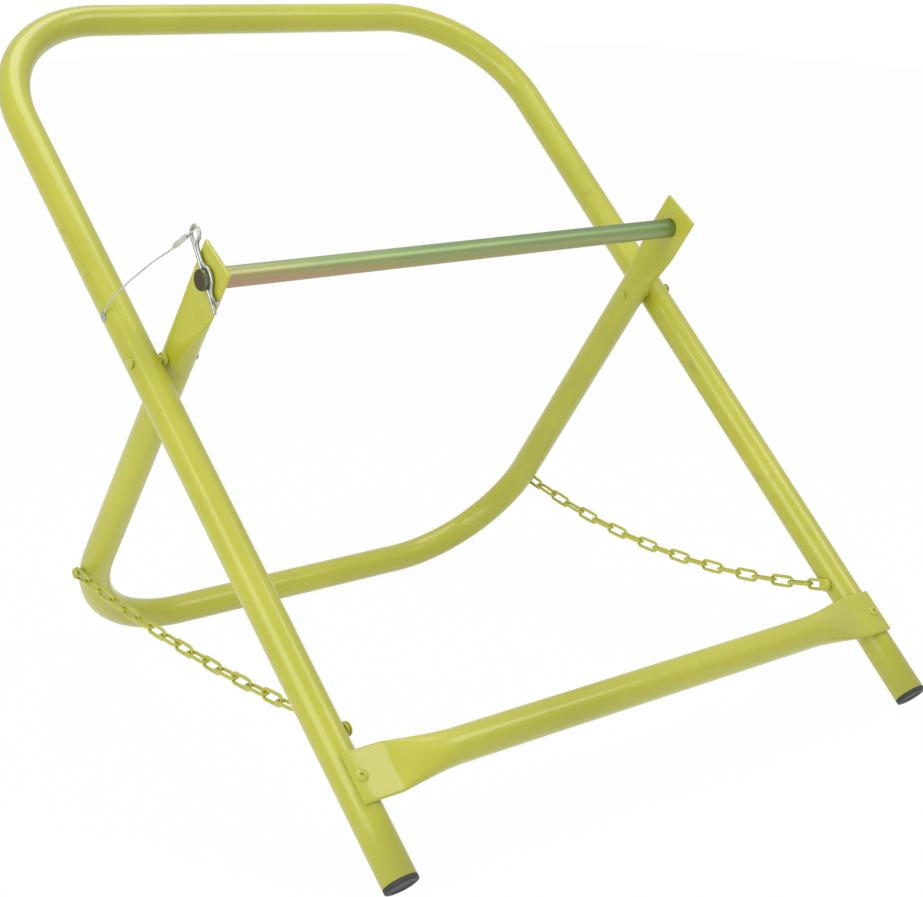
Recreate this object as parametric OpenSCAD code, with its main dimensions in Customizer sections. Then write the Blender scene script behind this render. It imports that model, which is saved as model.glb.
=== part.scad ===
// Folding X stand for wire and cable reels, in millimetres, +Z up.
// X runs along the reel rod, -Y is the side with the black foot caps.
// The origin is on the floor under the middle of the object.

/* [Frames] */
// Outside diameter of the bent frame tubes
tube_od = 25.4; // [19:0.1:32]
// Wall thickness of the frame tubes
tube_wall = 1.5; // [1.0:0.1:2.5]
// Distance between the centre lines of the two legs of the handle frame
leg_spacing = 520; // [440:1:600]
// From the fold pivot down to the outer end of the foot caps
leg_reach = 425; // [400:1:470]
// From the fold pivot up to the middle of the top handle bar
handle_reach = 349; // [300:1:400]
// Middle radius of the two handle bends
handle_bend = 110; // [70:1:130]
// How far the pivot hole lies in front of the handle leg's centre line
pivot_ahead = 5; // [0:0.5:6]
// From the fold pivot down to the middle of the rear floor bar
support_reach = 345; // [330:1:370]
// Middle radius of the two lower bends of the support frame
support_bend = 110; // [90:1:120]
// How far the support frame's centre line lies above its pivot hole
support_lift = 1.5; // [0:0.5:5]

/* [Fold pivot] */
// Shank diameter of the two pivot rivets
pivot_shank = 6.4; // [5:0.1:8]
// Head diameter of the pivot rivets
pivot_head = 8.4; // [7.8:0.2:9]
// Height of the domed pivot rivet heads
pivot_head_h = 1.7; // [1.4:0.1:2]
// Radial running clearance between rivet shank and support frame
pivot_clearance = 0.06; // [0.02:0.01:0.1]
// Thickness of the washer between the two frames
washer_t = 3.2; // [3:0.1:4]
// Outside diameter of the washer between the two frames
washer_od = 9.6; // [9:0.1:14]
// Side play left on each face of the washer
washer_play = 0.1; // [0.05:0.01:0.3]

/* [Flattened ends] */
// Width of a flattened tube end
flat_w = 38; // [34:0.5:40]
// Thickness of a flattened tube end
flat_t = 3; // [2.4:0.1:4]
// Length of the flat part at the top of each support arm
arm_flat = 41; // [36:1:48]
// Length over which a support arm changes from round to flat
arm_flare = 48; // [40:1:52]
// How far the arm's end stands beyond the middle of the rod hole
arm_end = 21; // [16:1:24]

/* [Front brace] */
// From the fold pivot down to the middle of the front brace
brace_at = 351; // [340:1:365]
// Overall length of the front brace beyond the leg spacing
brace_over = 12.6; // [10:0.2:14]
// Length of the flat part at each end of the brace
brace_flat = 31; // [28:1:40]
// Length over which the brace changes from flat to round
brace_flare = 58; // [50:1:64]
// Body diameter of the blind rivets that hold the brace
rivet_d = 4.8; // [4:0.1:6]
// Head diameter of the blind rivets that hold the brace
rivet_head = 9.6; // [8.5:0.1:11]
// Diameter of the open middle of a blind rivet
rivet_bore = 2.9; // [2.5:0.1:3.3]

/* [Foot caps] */
// Thickness of the visible rim of a foot cap
cap_rim = 3.6; // [2.5:0.1:8]
// Length of the plug inside the leg
cap_plug = 16; // [10:1:25]
// Wall thickness of the hollow plug
cap_wall = 1.8; // [1.2:0.1:2.4]

/* [Reel rod] */
// Diameter of the reel rod
rod_d = 15.9; // [14:0.1:18]
// From the fold pivot up to the middle of the rod
rod_at = 77; // [74:1:82]
// Radial running clearance between rod and plate hole
rod_clearance = 0.08; // [0.02:0.01:0.1]
// How far the rod stands out beyond the left plate
rod_out = 7.2; // [6.5:0.1:8]
// Diameter of the plain stop head on the rod's right end
stop_d = 22; // [19:0.5:30]
// Thickness of the stop head
stop_t = 3; // [2:0.1:4]
// End play of the rod between the pin and the stop head
rod_play = 1; // [0.5:0.1:1.5]

/* [Hitch pin and lanyard] */
// Wire diameter of the hitch pin
pin_wire = 2.8; // [2.4:0.1:3.2]
// Radial clearance of the pin in the rod's cross hole
pin_clearance = 0.1; // [0.05:0.01:0.2]
// Middle radius of the pin's round eye
eye_r = 5.6; // [4.5:0.1:7]
// From the rod's middle up to the middle of the eye
eye_at = 33; // [31.5:0.5:35]
// From the rod's middle down to the tip of the straight leg
pin_tip = 27; // [25:0.5:29]
// Lean of the pin away from upright
pin_lean = 30; // [28:0.5:32]
// Wire diameter of the lanyard
cord_d = 1.3; // [1:0.1:1.6]
// Length of the crimped sleeve
ferrule_len = 21; // [18:1:24]
// Width of the crimped sleeve
ferrule_w = 7.6; // [6.5:0.1:9]
// Slope of the crimped sleeve above level
ferrule_lean = 30; // [26:1:34]
// Turn of the crimped sleeve about its own line, in degrees
ferrule_roll = 30; // [20:1:32]
// How far the sleeve's line passes above the middle of the pin's eye
ferrule_rise = 3; // [2:0.2:3.2]
// From the fold pivot up to the lanyard's rivet
anchor_at = 47; // [40:1:60]
// Head diameter of the lanyard's rivet
anchor_head = 8; // [7:0.1:10]

/* [Chains] */
// Inside length of a chain link
link_inner = 20.5; // [19.5:0.1:21.5]
// Wire diameter of the chain
link_wire = 2.7; // [2.4:0.1:3]
// Outside width of a chain link
link_w = 10.4; // [10:0.1:11]
// Play left where two links or a link and a bolt touch
link_play = 0.2; // [0.1:0.05:0.3]
// Straight distance between the chain's ends as a part of its length
chain_taut = 0.99; // [0.98:0.001:0.996]
// The same for the left chain, which hangs straighter
left_taut = 0.9978; // [0.9966:0.0002:0.9986]
// Turn of the right chain's middle links about their own line, in degrees
roll_right = 11; // [0:1:12]
// Turn of the left chain's middle links about their own line, in degrees
roll_left = 7; // [0:1:12]
// From the fold pivot down to the bolt on the handle leg
bolt_at = 312; // [306:1:318]
// From the fold pivot down to the screw on the support frame
screw_at = 255; // [252:1:260]
// Shank diameter of the bolts and screws that hold the chains
screw_d = 4.6; // [4.2:0.1:4.7]
// Head diameter of the domed chain bolts
bolt_head = 11; // [10:0.1:12.4]
// Head diameter of the flat chain screws
screw_head = 9; // [8.6:0.1:9.6]
// Head height of the flat chain screws
screw_head_h = 1.8; // [1.4:0.1:2]
// Gap between the handle leg and the plane of the chain
chain_gap = 0.55; // [0.4:0.05:0.7]

/* [Output] */
// Name of the piece to draw, or all

/* [Hidden] */
$fn = 96;
link_count = 19;
r_tube = tube_od / 2;
r_bore = r_tube - tube_wall;
leg_x = leg_spacing / 2;
arm_x = leg_x - tube_od - washer_t - 2 * washer_play;
paint = [0.78, 0.78, 0.3];
zinc = [0.82, 0.82, 0.8];
plated = [0.72, 0.68, 0.45];
black = [0.06, 0.06, 0.06];

// A chain is a row of link lengths between joints. The first and last links
// hang on a bolt, the others on the wire of their neighbours.
edge_len = link_inner + link_wire;
function full_len(play) = (link_count - 3) / 2 * (link_inner - link_wire - 2 * play + edge_len) + edge_len
    + 2 * (link_inner - link_wire / 2 - screw_d / 2 - 2 * play);
chain_len = full_len(link_play);
chord = chain_taut * chain_len;
left_play = link_play + (chain_len - chord / left_taut) / (link_count + 1);
function play(side) = side < 0 ? left_play : link_play;
function end_len(side) = link_inner - link_wire / 2 - screw_d / 2 - 2 * play(side);
function face_len(side) = link_inner - link_wire - 2 * play(side);
function step(i, side) = (i == 0 || i == link_count - 1) ? end_len(side) : (i % 2 == 0 ? face_len(side) : edge_len);

// The chord of the drawn-out chain sets the angle between the two frames.
a_arm = norm([bolt_at, pivot_ahead]);
b_arm = norm([screw_at, support_lift]);
a_off = atan2(pivot_ahead, bolt_at);
b_off = atan2(support_lift, screw_at);
cos_spread = (a_arm * a_arm + b_arm * b_arm - chord * chord) / (2 * a_arm * b_arm);
spread = acos(cos_spread) + a_off - b_off;

// Both frames stand on the same floor, which sets how far each one leans.
function foot_drop(t) = leg_reach * sin(t) + (pivot_ahead + r_tube) * cos(t);
function bar_drop(t) = support_reach * sin(t) - support_lift * cos(t) + r_tube;
function lean(lo, hi, k) = let(m = (lo + hi) / 2)
    k == 0 ? m : (foot_drop(m) > bar_drop(180 - spread - m) ? lean(lo, m, k - 1) : lean(m, hi, k - 1));
handle_tilt = lean(20, 70, 40);
support_tilt = 180 - spread - handle_tilt;
pivot_h = foot_drop(handle_tilt);

// Points of the two frames seen from the side, as [y, z] from the pivot.
function on_handle(s, n) = [-s * cos(handle_tilt) - n * sin(handle_tilt), -s * sin(handle_tilt) + n * cos(handle_tilt)];
function on_support(s, n) = [s * cos(support_tilt) + n * sin(support_tilt), -s * sin(support_tilt) + n * cos(support_tilt)];
front_y = on_handle(leg_reach, r_tube - pivot_ahead)[0];
back_handle = on_handle(-handle_reach, -pivot_ahead)[0] + r_tube;
back_support = on_support(support_reach, support_lift)[0] + r_tube;
back_y = max(back_handle, back_support);
mid_y = (front_y + back_y) / 2;

// Resting curve of the chain, an even bend from bolt to screw.
chain_a = on_handle(bolt_at, -pivot_ahead);
chain_b = on_support(screw_at, support_lift);
chord_v = chain_b - chain_a;
chord_dir = atan2(chord_v[1], chord_v[0]);
mid_link = (link_count - 1) / 2;
function reach(d, i, side) = i < 0 ? 0 : step(i, side) * cos(d * (i - mid_link)) + reach(d, i - 1, side);
function bend(lo, hi, k, side) = let(m = (lo + hi) / 2)
    k == 0 ? m : (reach(m, link_count - 1, side) > chord ? bend(m, hi, k - 1, side) : bend(lo, m, k - 1, side));
bend_right = bend(0, 6, 40, 1);
bend_left = bend(0, 6, 40, -1);
function link_dir(i, side) = chord_dir + (side < 0 ? bend_left : bend_right) * (i - mid_link);
function joint_at(i, side) = i == 0 ? chain_a :
    joint_at(i - 1, side) + step(i - 1, side) * [cos(link_dir(i - 1, side)), sin(link_dir(i - 1, side))];
function to_centre(i, side) = i == 0 ? link_inner / 2 - screw_d / 2 - play(side) :
    (i % 2 == 0 ? link_inner / 2 - link_wire / 2 - play(side) : edge_len / 2);
function roll(i, side) = (side < 0 ? roll_left : roll_right) * min(1, i / 4, (link_count - 1 - i) / 4);
chain_x = leg_x - r_tube - chain_gap - link_wire / 2;

// The rod, the pin that holds it and the lanyard of the pin.
rod_c = on_support(-rod_at, support_lift);
plate_in = arm_x - flat_t / 2;
plate_out = arm_x + flat_t / 2;
pin_x = plate_out + rod_play + pin_wire / 2 + 0.1;
rod_left = plate_out + rod_out;
leg_gap = pin_wire + 0.3;
hump_r = rod_d / 2 + pin_wire / 2 + 0.2;
wave_r = 8;
neck_r = 5;
wave_v = sqrt(pow(hump_r + wave_r, 2) - pow(leg_gap + wave_r, 2));
wave_a = atan2(wave_v, leg_gap + wave_r);
neck_v = sqrt(pow(eye_r + neck_r, 2) - pow(leg_gap + neck_r - eye_r, 2));
neck_a = atan2(neck_v, leg_gap + neck_r - eye_r);
eye_c = rod_c + [eye_at * sin(pin_lean) - eye_r * cos(pin_lean), eye_at * cos(pin_lean) + eye_r * sin(pin_lean)];
ferrule_v = [-cos(ferrule_lean), sin(ferrule_lean)];
ferrule_end = eye_r + pin_wire / 2 + 1.6;
ferrule_hole = cord_d + 0.2;
wire_off = cord_d / 2 + 0.35;

// Points of the lanyard: round the front of the handle leg, through the
// crimped sleeve, round a loop in the pin's eye and back into the sleeve.
function at_leg(x, s, n) = let(p = on_handle(s, n - pivot_ahead)) [-leg_x - x, p[0], p[1]];
ferrule_n = [sin(ferrule_lean), cos(ferrule_lean)];
function at_ferrule(x, d) =
    let(p = eye_c + (d - ferrule_end) * ferrule_v + (ferrule_rise + x * sin(ferrule_roll)) * ferrule_n)
    [-pin_x + x * cos(ferrule_roll), p[0], p[1]];
leg_side = r_tube + cord_d / 2 + 0.1;
lanyard_pts = [at_leg(leg_side, -anchor_at, anchor_head / 2 + 1), at_leg(leg_side, -anchor_at - 0.5, 9),
    at_leg(11.8, -anchor_at - 1, 17), at_leg(8.6, -anchor_at - 1.4, 26), at_leg(4, -anchor_at - 1.8, 36),
    at_leg(-3, -anchor_at - 2.2, 47), at_leg(-11, -anchor_at - 3, 57.5), at_ferrule(-2.4, -ferrule_len - 7),
    at_ferrule(-wire_off, -ferrule_len),
    at_ferrule(-wire_off, -ferrule_len / 2), at_ferrule(-wire_off, 0), at_ferrule(-2.5, 2),
    at_ferrule(-2.9, 4.4), at_ferrule(-1.9, 6.8), at_ferrule(0, 7.9), at_ferrule(1.9, 6.8),
    at_ferrule(2.9, 4.4), at_ferrule(2.5, 2), at_ferrule(wire_off, 0), at_ferrule(wire_off, -ferrule_len / 2),
    at_ferrule(wire_off, -ferrule_len - 2)];
cord_sides = 8;

function two(i) = i < 10 ? str("0", i) : str(i);
CHAIN_LEFT = [for (i = [1 : link_count]) str("chain_left_", two(i))];
CHAIN_RIGHT = [for (i = [1 : link_count]) str("chain_right_", two(i))];

// Working frames: the pivot, the plane of the handle frame with Y up its
// legs, and the plane of the support frame with Y down its arms.
module at_pivot()
{
    translate([0, -mid_y, pivot_h]) children();
}

module in_handle()
{
    at_pivot() rotate([handle_tilt, 0, 0]) translate([0, 0, -pivot_ahead]) children();
}

module in_support()
{
    at_pivot() rotate([-support_tilt, 0, 0]) translate([0, 0, support_lift]) children();
}

// A bar of the given radius along Y or X.
module bar_y(r, y0, y1)
{
    translate([0, y0, 0]) rotate([-90, 0, 0]) cylinder(h = y1 - y0, r = r);
}

module bar_x(r, x0, x1)
{
    translate([x0, 0, 0]) rotate([0, 90, 0]) cylinder(h = x1 - x0, r = r);
}

// A bent rod profile with two legs along Y, two quarter bends and a cross bar.
module u_bar(r, half, y_leg, y_bar, bend_r)
{
    translate([half, 0, 0]) bar_y(r, y_leg, y_bar - bend_r);
    translate([-half, 0, 0]) bar_y(r, y_leg, y_bar - bend_r);
    translate([half - bend_r, y_bar - bend_r, 0])
        rotate_extrude(angle = 90) translate([bend_r, 0]) circle(r = r);
    translate([bend_r - half, y_bar - bend_r, 0])
        rotate([0, 0, 90]) rotate_extrude(angle = 90) translate([bend_r, 0]) circle(r = r);
    translate([0, y_bar, 0]) bar_x(r, bend_r - half, half - bend_r);
}

// Outline of a tube being flattened: k runs round the section, t from 0 for
// round to 1 for flat. Width is along the first value, thickness the second.
ring_n = 32;
flare_rings = 8;
function ease(t) = t * t * (3 - 2 * t);
function flat_pt(k, hw, ht) =
    k < 8 ? [(hw - ht) * (1 - k / 4), ht] :
    k < 16 ? [ht - hw - ht * sin((k - 8) * 22.5), ht * cos((k - 8) * 22.5)] :
    k < 24 ? [(hw - ht) * ((k - 16) / 4 - 1), -ht] :
    [hw - ht + ht * sin((k - 24) * 22.5), -ht * cos((k - 24) * 22.5)];
function round_pt(k, r) = [r * cos(45 + k * 11.25), r * sin(45 + k * 11.25)];
function section(t, k, r, hw, ht) = let(e = ease(t)) (1 - e) * round_pt(k, r) + e * flat_pt(k, hw, ht);

// Solid that runs along Z from a round section to a flat one, the flat one
// wide in X and thin in Y. Its two end sections are a little smaller and lie
// inside the tube and the flat end that it joins.
join = 0.5;
module flare(len, r, hw, ht)
{
    ts = [for (j = [0 : flare_rings]) j / flare_rings];
    zs = [for (j = [0 : flare_rings]) j == 0 ? -join : (j == flare_rings ? len + join : len * j / flare_rings)];
    pts = [for (j = [0 : flare_rings]) for (k = [0 : ring_n - 1])
        let(p = section(ts[j], k, r - 0.08, hw - 0.15, ht - 0.15)) [p[0], p[1], zs[j]]];
    walls = [for (j = [0 : flare_rings - 1]) for (k = [0 : ring_n - 1])
        let(a = j * ring_n + k, b = j * ring_n + (k + 1) % ring_n) [a, a + ring_n, b + ring_n, b]];
    low = [[for (k = [0 : ring_n - 1]) k]];
    high = [[for (k = [0 : ring_n - 1]) flare_rings * ring_n + ring_n - 1 - k]];
    polyhedron(points = pts, faces = concat(low, walls, high), convexity = 4);
}

// Flat end with rounded long edges, along Z, wide in X and thin in Y.
module flat_end(len)
{
    translate([-(flat_w - flat_t) / 2, -flat_t / 2, 0]) cube([flat_w - flat_t, flat_t, len]);
    translate([(flat_w - flat_t) / 2, 0, 0]) cylinder(h = len, d = flat_t);
    translate([-(flat_w - flat_t) / 2, 0, 0]) cylinder(h = len, d = flat_t);
}

// Domed head with its flat face on Z = 0.
module dome(d, h)
{
    ball = (d * d / 4 + h * h) / (2 * h);
    intersection()
    {
        translate([0, 0, h - ball]) sphere(r = ball);
        cylinder(h = h + 1, d = d + 1);
    }
}

// Turns a piece that points along Z so that it points along +X or -X.
module point_x(side)
{
    rotate([0, 90 * side, 0]) children();
}

module handle_frame()
{
    color(paint) in_handle() difference()
    {
        u_bar(r_tube, leg_x, cap_rim - leg_reach, handle_reach, handle_bend);
        u_bar(r_bore, leg_x, cap_rim - leg_reach - 1, handle_reach, handle_bend);
        translate([0, 0, pivot_ahead]) bar_x(pivot_shank / 2, -leg_x - r_tube - 1, r_tube - leg_x + 1);
        translate([0, 0, pivot_ahead]) bar_x(pivot_shank / 2, leg_x - r_tube - 1, leg_x + r_tube + 1);
        for (sx = [-1, 1])
        {
            translate([sx * leg_x, -brace_at, 0]) cylinder(h = r_tube + 1, d = rivet_d);
        }
        translate([0, -bolt_at, 0]) bar_x(screw_d / 2, leg_x - r_tube - 1, leg_x);
        translate([0, -bolt_at, 0]) bar_x(screw_d / 2, -leg_x, r_tube - leg_x + 1);
        translate([0, anchor_at, 0]) bar_x(2, -leg_x - r_tube - 1, -leg_x);
    }
}

module arm(side)
{
    translate([side * arm_x, 0, 0])
    {
        translate([0, -rod_at - arm_end + arm_flat, 0]) rotate([90, 0, 0]) rotate([0, 0, 90]) flat_end(arm_flat);
        translate([0, arm_flat + arm_flare - rod_at - arm_end, 0]) rotate([90, 0, 0])
            rotate([0, 0, 90]) flare(arm_flare, r_tube, flat_w / 2, flat_t / 2);
    }
}

// Hollow inside a flared end, along Z, narrowing to nothing as the tube closes.
module flare_hollow(len)
{
    translate([0, 0, -0.5]) cylinder(h = 0.75 * len, r1 = r_bore - 0.4, r2 = 0.6);
}

module arm_hollow(side)
{
    translate([side * arm_x, arm_flat + arm_flare - rod_at - arm_end, 0]) rotate([90, 0, 0])
        flare_hollow(arm_flare);
}

module support_frame()
{
    leg_top = arm_flat + arm_flare - rod_at - arm_end;
    color(paint) in_support() difference()
    {
        union()
        {
            u_bar(r_tube, arm_x, leg_top, support_reach, support_bend);
            arm(-1);
            arm(1);
        }
        u_bar(r_bore, arm_x, leg_top - 0.1, support_reach, support_bend);
        arm_hollow(-1);
        arm_hollow(1);
        translate([0, -rod_at, 0]) bar_x(rod_d / 2 + rod_clearance, -arm_x - flat_t, -arm_x + flat_t);
        translate([0, -rod_at, 0]) bar_x(rod_d / 2 + rod_clearance, arm_x - flat_t, arm_x + flat_t);
        translate([0, 0, -support_lift])
            bar_x(pivot_shank / 2 + pivot_clearance, arm_x - r_tube - 1, arm_x + r_tube + 1);
        translate([0, 0, -support_lift])
            bar_x(pivot_shank / 2 + pivot_clearance, -arm_x - r_tube - 1, -arm_x + r_tube + 1);
        translate([0, screw_at, 0]) bar_x(screw_d / 2, arm_x, arm_x + r_tube);
        translate([0, screw_at, 0]) bar_x(screw_d / 2, -arm_x - r_tube, -arm_x);
    }
}

module brace_end(side)
{
    end_x = leg_x + brace_over / 2;
    point_x(side)
    {
        translate([0, 0, end_x - brace_flat]) rotate([0, 0, 90]) flat_end(brace_flat);
        translate([0, 0, end_x - brace_flat - brace_flare])
            rotate([0, 0, 90]) flare(brace_flare, r_tube, flat_w / 2, flat_t / 2);
    }
}

module front_brace()
{
    end_x = leg_x + brace_over / 2;
    round_x = end_x - brace_flat - brace_flare;
    color(paint) in_handle() translate([0, -brace_at, r_tube + flat_t / 2]) difference()
    {
        union()
        {
            bar_x(r_tube, -round_x, round_x);
            brace_end(1);
            brace_end(-1);
        }
        bar_x(r_bore, -round_x - 0.1, round_x + 0.1);
        point_x(1) translate([0, 0, round_x]) flare_hollow(brace_flare);
        point_x(-1) translate([0, 0, round_x]) flare_hollow(brace_flare);
        for (sx = [-1, 1])
        {
            translate([sx * leg_x, 0, -flat_t]) cylinder(h = 2 * flat_t, d = rivet_d);
        }
    }
}

// Blind rivet through the brace plate and the front wall of the leg, with
// its open middle and the bulge it forms inside the tube.
module brace_rivet(side)
{
    grip = flat_t + tube_wall;
    color(paint) in_handle() translate([side * leg_x, -brace_at, r_tube + flat_t]) difference()
    {
        union()
        {
            dome(rivet_head, 1.5);
            translate([0, 0, -grip - 1]) cylinder(h = grip + 1.2, d = rivet_d);
            translate([0, 0, -grip - 3.2]) cylinder(h = 2.6, d = rivet_d + 1.6);
        }
        translate([0, 0, -grip - 4]) cylinder(h = grip + 8, d = rivet_bore);
    }
}

module foot_cap(side)
{
    color(black) in_handle() translate([side * leg_x, -leg_reach, 0]) rotate([-90, 0, 0]) difference()
    {
        union()
        {
            cylinder(h = 0.8, r1 = r_tube - 0.8, r2 = r_tube);
            translate([0, 0, 0.8]) cylinder(h = cap_rim - 0.8, r = r_tube);
            translate([0, 0, cap_rim]) cylinder(h = cap_plug, r = r_bore);
        }
        translate([0, 0, cap_rim]) cylinder(h = cap_plug + 1, r = r_bore - cap_wall);
        translate([0, 0, -1]) cylinder(h = 1.8, r = r_tube - 4);
    }
}

module pivot_rivet(side)
{
    span = leg_x + r_tube - (arm_x - r_tube);
    color(paint) at_pivot() point_x(side) translate([0, 0, arm_x - r_tube])
    {
        cylinder(h = span, d = pivot_shank);
        translate([0, 0, span]) dome(pivot_head, pivot_head_h);
        translate([0, 0, -washer_play]) rotate([180, 0, 0]) dome(pivot_head, pivot_head_h);
        translate([0, 0, -washer_play - 0.2]) cylinder(h = 1, d = pivot_shank);
    }
}

module pivot_washer(side)
{
    color(paint) at_pivot() point_x(side) translate([0, 0, arm_x + r_tube + washer_play]) difference()
    {
        cylinder(h = washer_t, d = washer_od);
        translate([0, 0, -1]) cylinder(h = washer_t + 2, d = pivot_shank + 2 * pivot_clearance);
    }
}

// Domed bolt on the inner face of a handle leg, its shank in the leg wall.
module chain_bolt(side)
{
    head_x = chain_x - link_wire / 2 - link_play;
    color(paint) in_handle() translate([0, -bolt_at, 0]) point_x(side) translate([0, 0, head_x])
    {
        cylinder(h = leg_x - r_tube + tube_wall + 2 - head_x, d = screw_d);
        rotate([180, 0, 0]) dome(bolt_head, 2.6);
    }
}

// Flat screw on the outer face of the support frame at the start of its bend.
module chain_screw(side)
{
    head_x = chain_x + link_wire / 2 + link_play;
    color(paint) in_support() translate([0, screw_at, 0]) point_x(side) translate([0, 0, head_x]) difference()
    {
        union()
        {
            translate([0, 0, -9]) cylinder(h = 9, d = screw_d);
            cylinder(h = screw_head_h - 0.5, d = screw_head);
            translate([0, 0, screw_head_h - 0.5]) cylinder(h = 0.5, d1 = screw_head, d2 = screw_head - 1);
        }
        translate([-screw_head, -0.5, screw_head_h - 0.7]) cube([2 * screw_head, 1, 2]);
    }
}

module axle_rod()
{
    color(plated) at_pivot() translate([0, rod_c[0], rod_c[1]]) difference()
    {
        union()
        {
            bar_x(rod_d / 2, -rod_left + 0.8, plate_out + rod_play + stop_t);
            translate([-rod_left, 0, 0]) rotate([0, 90, 0]) cylinder(h = 0.8, d1 = rod_d - 1.6, d2 = rod_d);
            bar_x(stop_d / 2, plate_out + rod_play, plate_out + rod_play + stop_t);
        }
        translate([-pin_x, 0, 0]) rotate([-pin_lean, 0, 0])
            translate([0, 0, -rod_d]) cylinder(h = 2 * rod_d, r = pin_wire / 2 + pin_clearance);
    }
}

// Wire steps in the YZ plane, each [length] for a straight piece or
// [radius, angle] for a bend, starting upwards; a positive angle turns
// towards -Y. A state is [y, z, heading].
function turned(p, st) = let(h = p[2]) len(st) == 1 ?
    [p[0] - st[0] * sin(h), p[1] + st[0] * cos(h), h] :
    let(g = h + st[1], q = st[1] > 0 ? st[0] : -st[0])
        [p[0] - q * (cos(h) - cos(g)), p[1] - q * (sin(h) - sin(g)), g];
function state(steps, i) = i == 0 ? [0, 0, 0] : turned(state(steps, i - 1), steps[i - 1]);

function samples(p, st) = len(st) == 1 ? [p] :
    let(m = ceil(abs(st[1]) / 10)) [for (j = [0 : m - 1]) j == 0 ? p : turned(p, [st[0], st[1] * j / m])];
function wire_pts(steps) = concat([for (i = [0 : len(steps) - 1]) each samples(state(steps, i), steps[i])],
    [state(steps, len(steps))]);
function mid_pts(pts) = [for (q = pts) [0, q[0], q[1]]];

// A free cord as a tube along a line of points in the world frame.
module cord_tube(route, r, sides)
{
    n = len(route);
    function ahead(i) = route[min(i + 1, n - 1)] - route[max(i - 1, 0)];
    function unit(v) = v / norm(v);
    function across(i, v) = let(t = unit(ahead(i))) unit(v - t * (v * t));
    function turn(i) = i == 0 ? across(0, [1, 0.2, 0.1]) : across(i, turn(i - 1));
    sides_v = [for (i = [0 : n - 1]) turn(i)];
    pts = [for (i = [0 : n - 1]) for (k = [0 : sides - 1])
        let(t = unit(ahead(i)), u = sides_v[i], w = cross(t, u))
        route[i] + r * (cos(360 * k / sides) * u + sin(360 * k / sides) * w)];
    walls = [for (i = [0 : n - 2]) for (k = [0 : sides - 1])
        let(a = i * sides + k, b = i * sides + (k + 1) % sides) [a, a + sides, b + sides, b]];
    low = [[for (k = [0 : sides - 1]) k]];
    high = [[for (k = [0 : sides - 1]) (n - 1) * sides + sides - 1 - k]];
    polyhedron(points = pts, faces = concat(low, walls, high), convexity = 6);
}

module hitch_pin()
{
    steps = [[pin_tip + eye_at], [eye_r, 180 + neck_a], [neck_r, -neck_a], [eye_at - neck_v - wave_v],
        [wave_r, -wave_a], [hump_r, 2 * wave_a], [wave_r, -wave_a - 45], [4]];
    color(zinc) at_pivot() translate([-pin_x, rod_c[0], rod_c[1]]) rotate([-pin_lean, 0, 0])
        translate([0, 0, -pin_tip]) cord_tube(mid_pts(wire_pts(steps)), pin_wire / 2, 16);
}

// Rounded curve through a list of points, with steps of about the given size.
function curve_pt(p, i, t) =
    let(a = p[max(i - 1, 0)], b = p[i], c = p[i + 1], d = p[min(i + 2, len(p) - 1)])
    0.5 * (2 * b + (c - a) * t + (2 * a - 5 * b + 4 * c - d) * t * t + (3 * b - a - 3 * c + d) * t * t * t);
function curve(p, size) = concat([for (i = [0 : len(p) - 2])
    let(m = max(1, round(norm(p[i + 1] - p[i]) / size))) for (j = [0 : m - 1]) curve_pt(p, i, j / m)],
    [p[len(p) - 1]]);

module lanyard()
{
    color(zinc) at_pivot() cord_tube(curve(lanyard_pts, 3), cord_d / 2, cord_sides);
}

// Oval bar along Z, wide in X.
module oval(w, t, len)
{
    translate([-(w - t) / 2, -t / 2, 0]) cube([w - t, t, len]);
    translate([(w - t) / 2, 0, 0]) cylinder(h = len, d = t);
    translate([-(w - t) / 2, 0, 0]) cylinder(h = len, d = t);
}

module lanyard_ferrule()
{
    start = eye_c - (ferrule_end + ferrule_len) * ferrule_v + ferrule_rise * ferrule_n;
    color(zinc) at_pivot() translate([-pin_x, start[0], start[1]]) rotate([90 - ferrule_lean, 0, 0])
        rotate([0, 0, ferrule_roll]) difference()
    {
        oval(ferrule_w, ferrule_w * 0.56, ferrule_len);
        translate([0, 0, -1]) oval(2 * wire_off + ferrule_hole, ferrule_hole, ferrule_len + 2);
    }
}

module lanyard_rivet()
{
    color(zinc) in_handle() translate([-leg_x - r_tube, anchor_at, 0]) rotate([0, -90, 0]) difference()
    {
        union()
        {
            translate([0, 0, -tube_wall - 1.5]) cylinder(h = tube_wall + 1.6, d = 4);
            dome(anchor_head, 1.2);
        }
        translate([0, 0, -tube_wall - 2]) cylinder(h = 6, d = 1.8);
    }
}

// Oval ring of round wire in the XY plane, long in Y.
module link_ring()
{
    rc = (link_w - link_wire) / 2;
    half = (link_inner + link_wire) / 2 - rc;
    for (sx = [-1, 1])
    {
        translate([sx * rc, 0, 0]) bar_y(link_wire / 2, -half, half);
    }
    translate([0, half, 0]) rotate_extrude(angle = 180) translate([rc, 0]) circle(d = link_wire);
    translate([0, -half, 0]) rotate([0, 0, 180]) rotate_extrude(angle = 180) translate([rc, 0]) circle(d = link_wire);
}

// One chain link: the odd ones seen flat from the side, the even ones turned.
module chain_link(i, side)
{
    c = joint_at(i, side) + to_centre(i, side) * [cos(link_dir(i, side)), sin(link_dir(i, side))];
    color(paint) at_pivot() translate([side * chain_x, c[0], c[1]]) rotate([link_dir(i, side), 0, 0])
        rotate([0, (i % 2 == 0 ? 90 : 0) + roll(i, side), 0]) link_ring();
}

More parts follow.
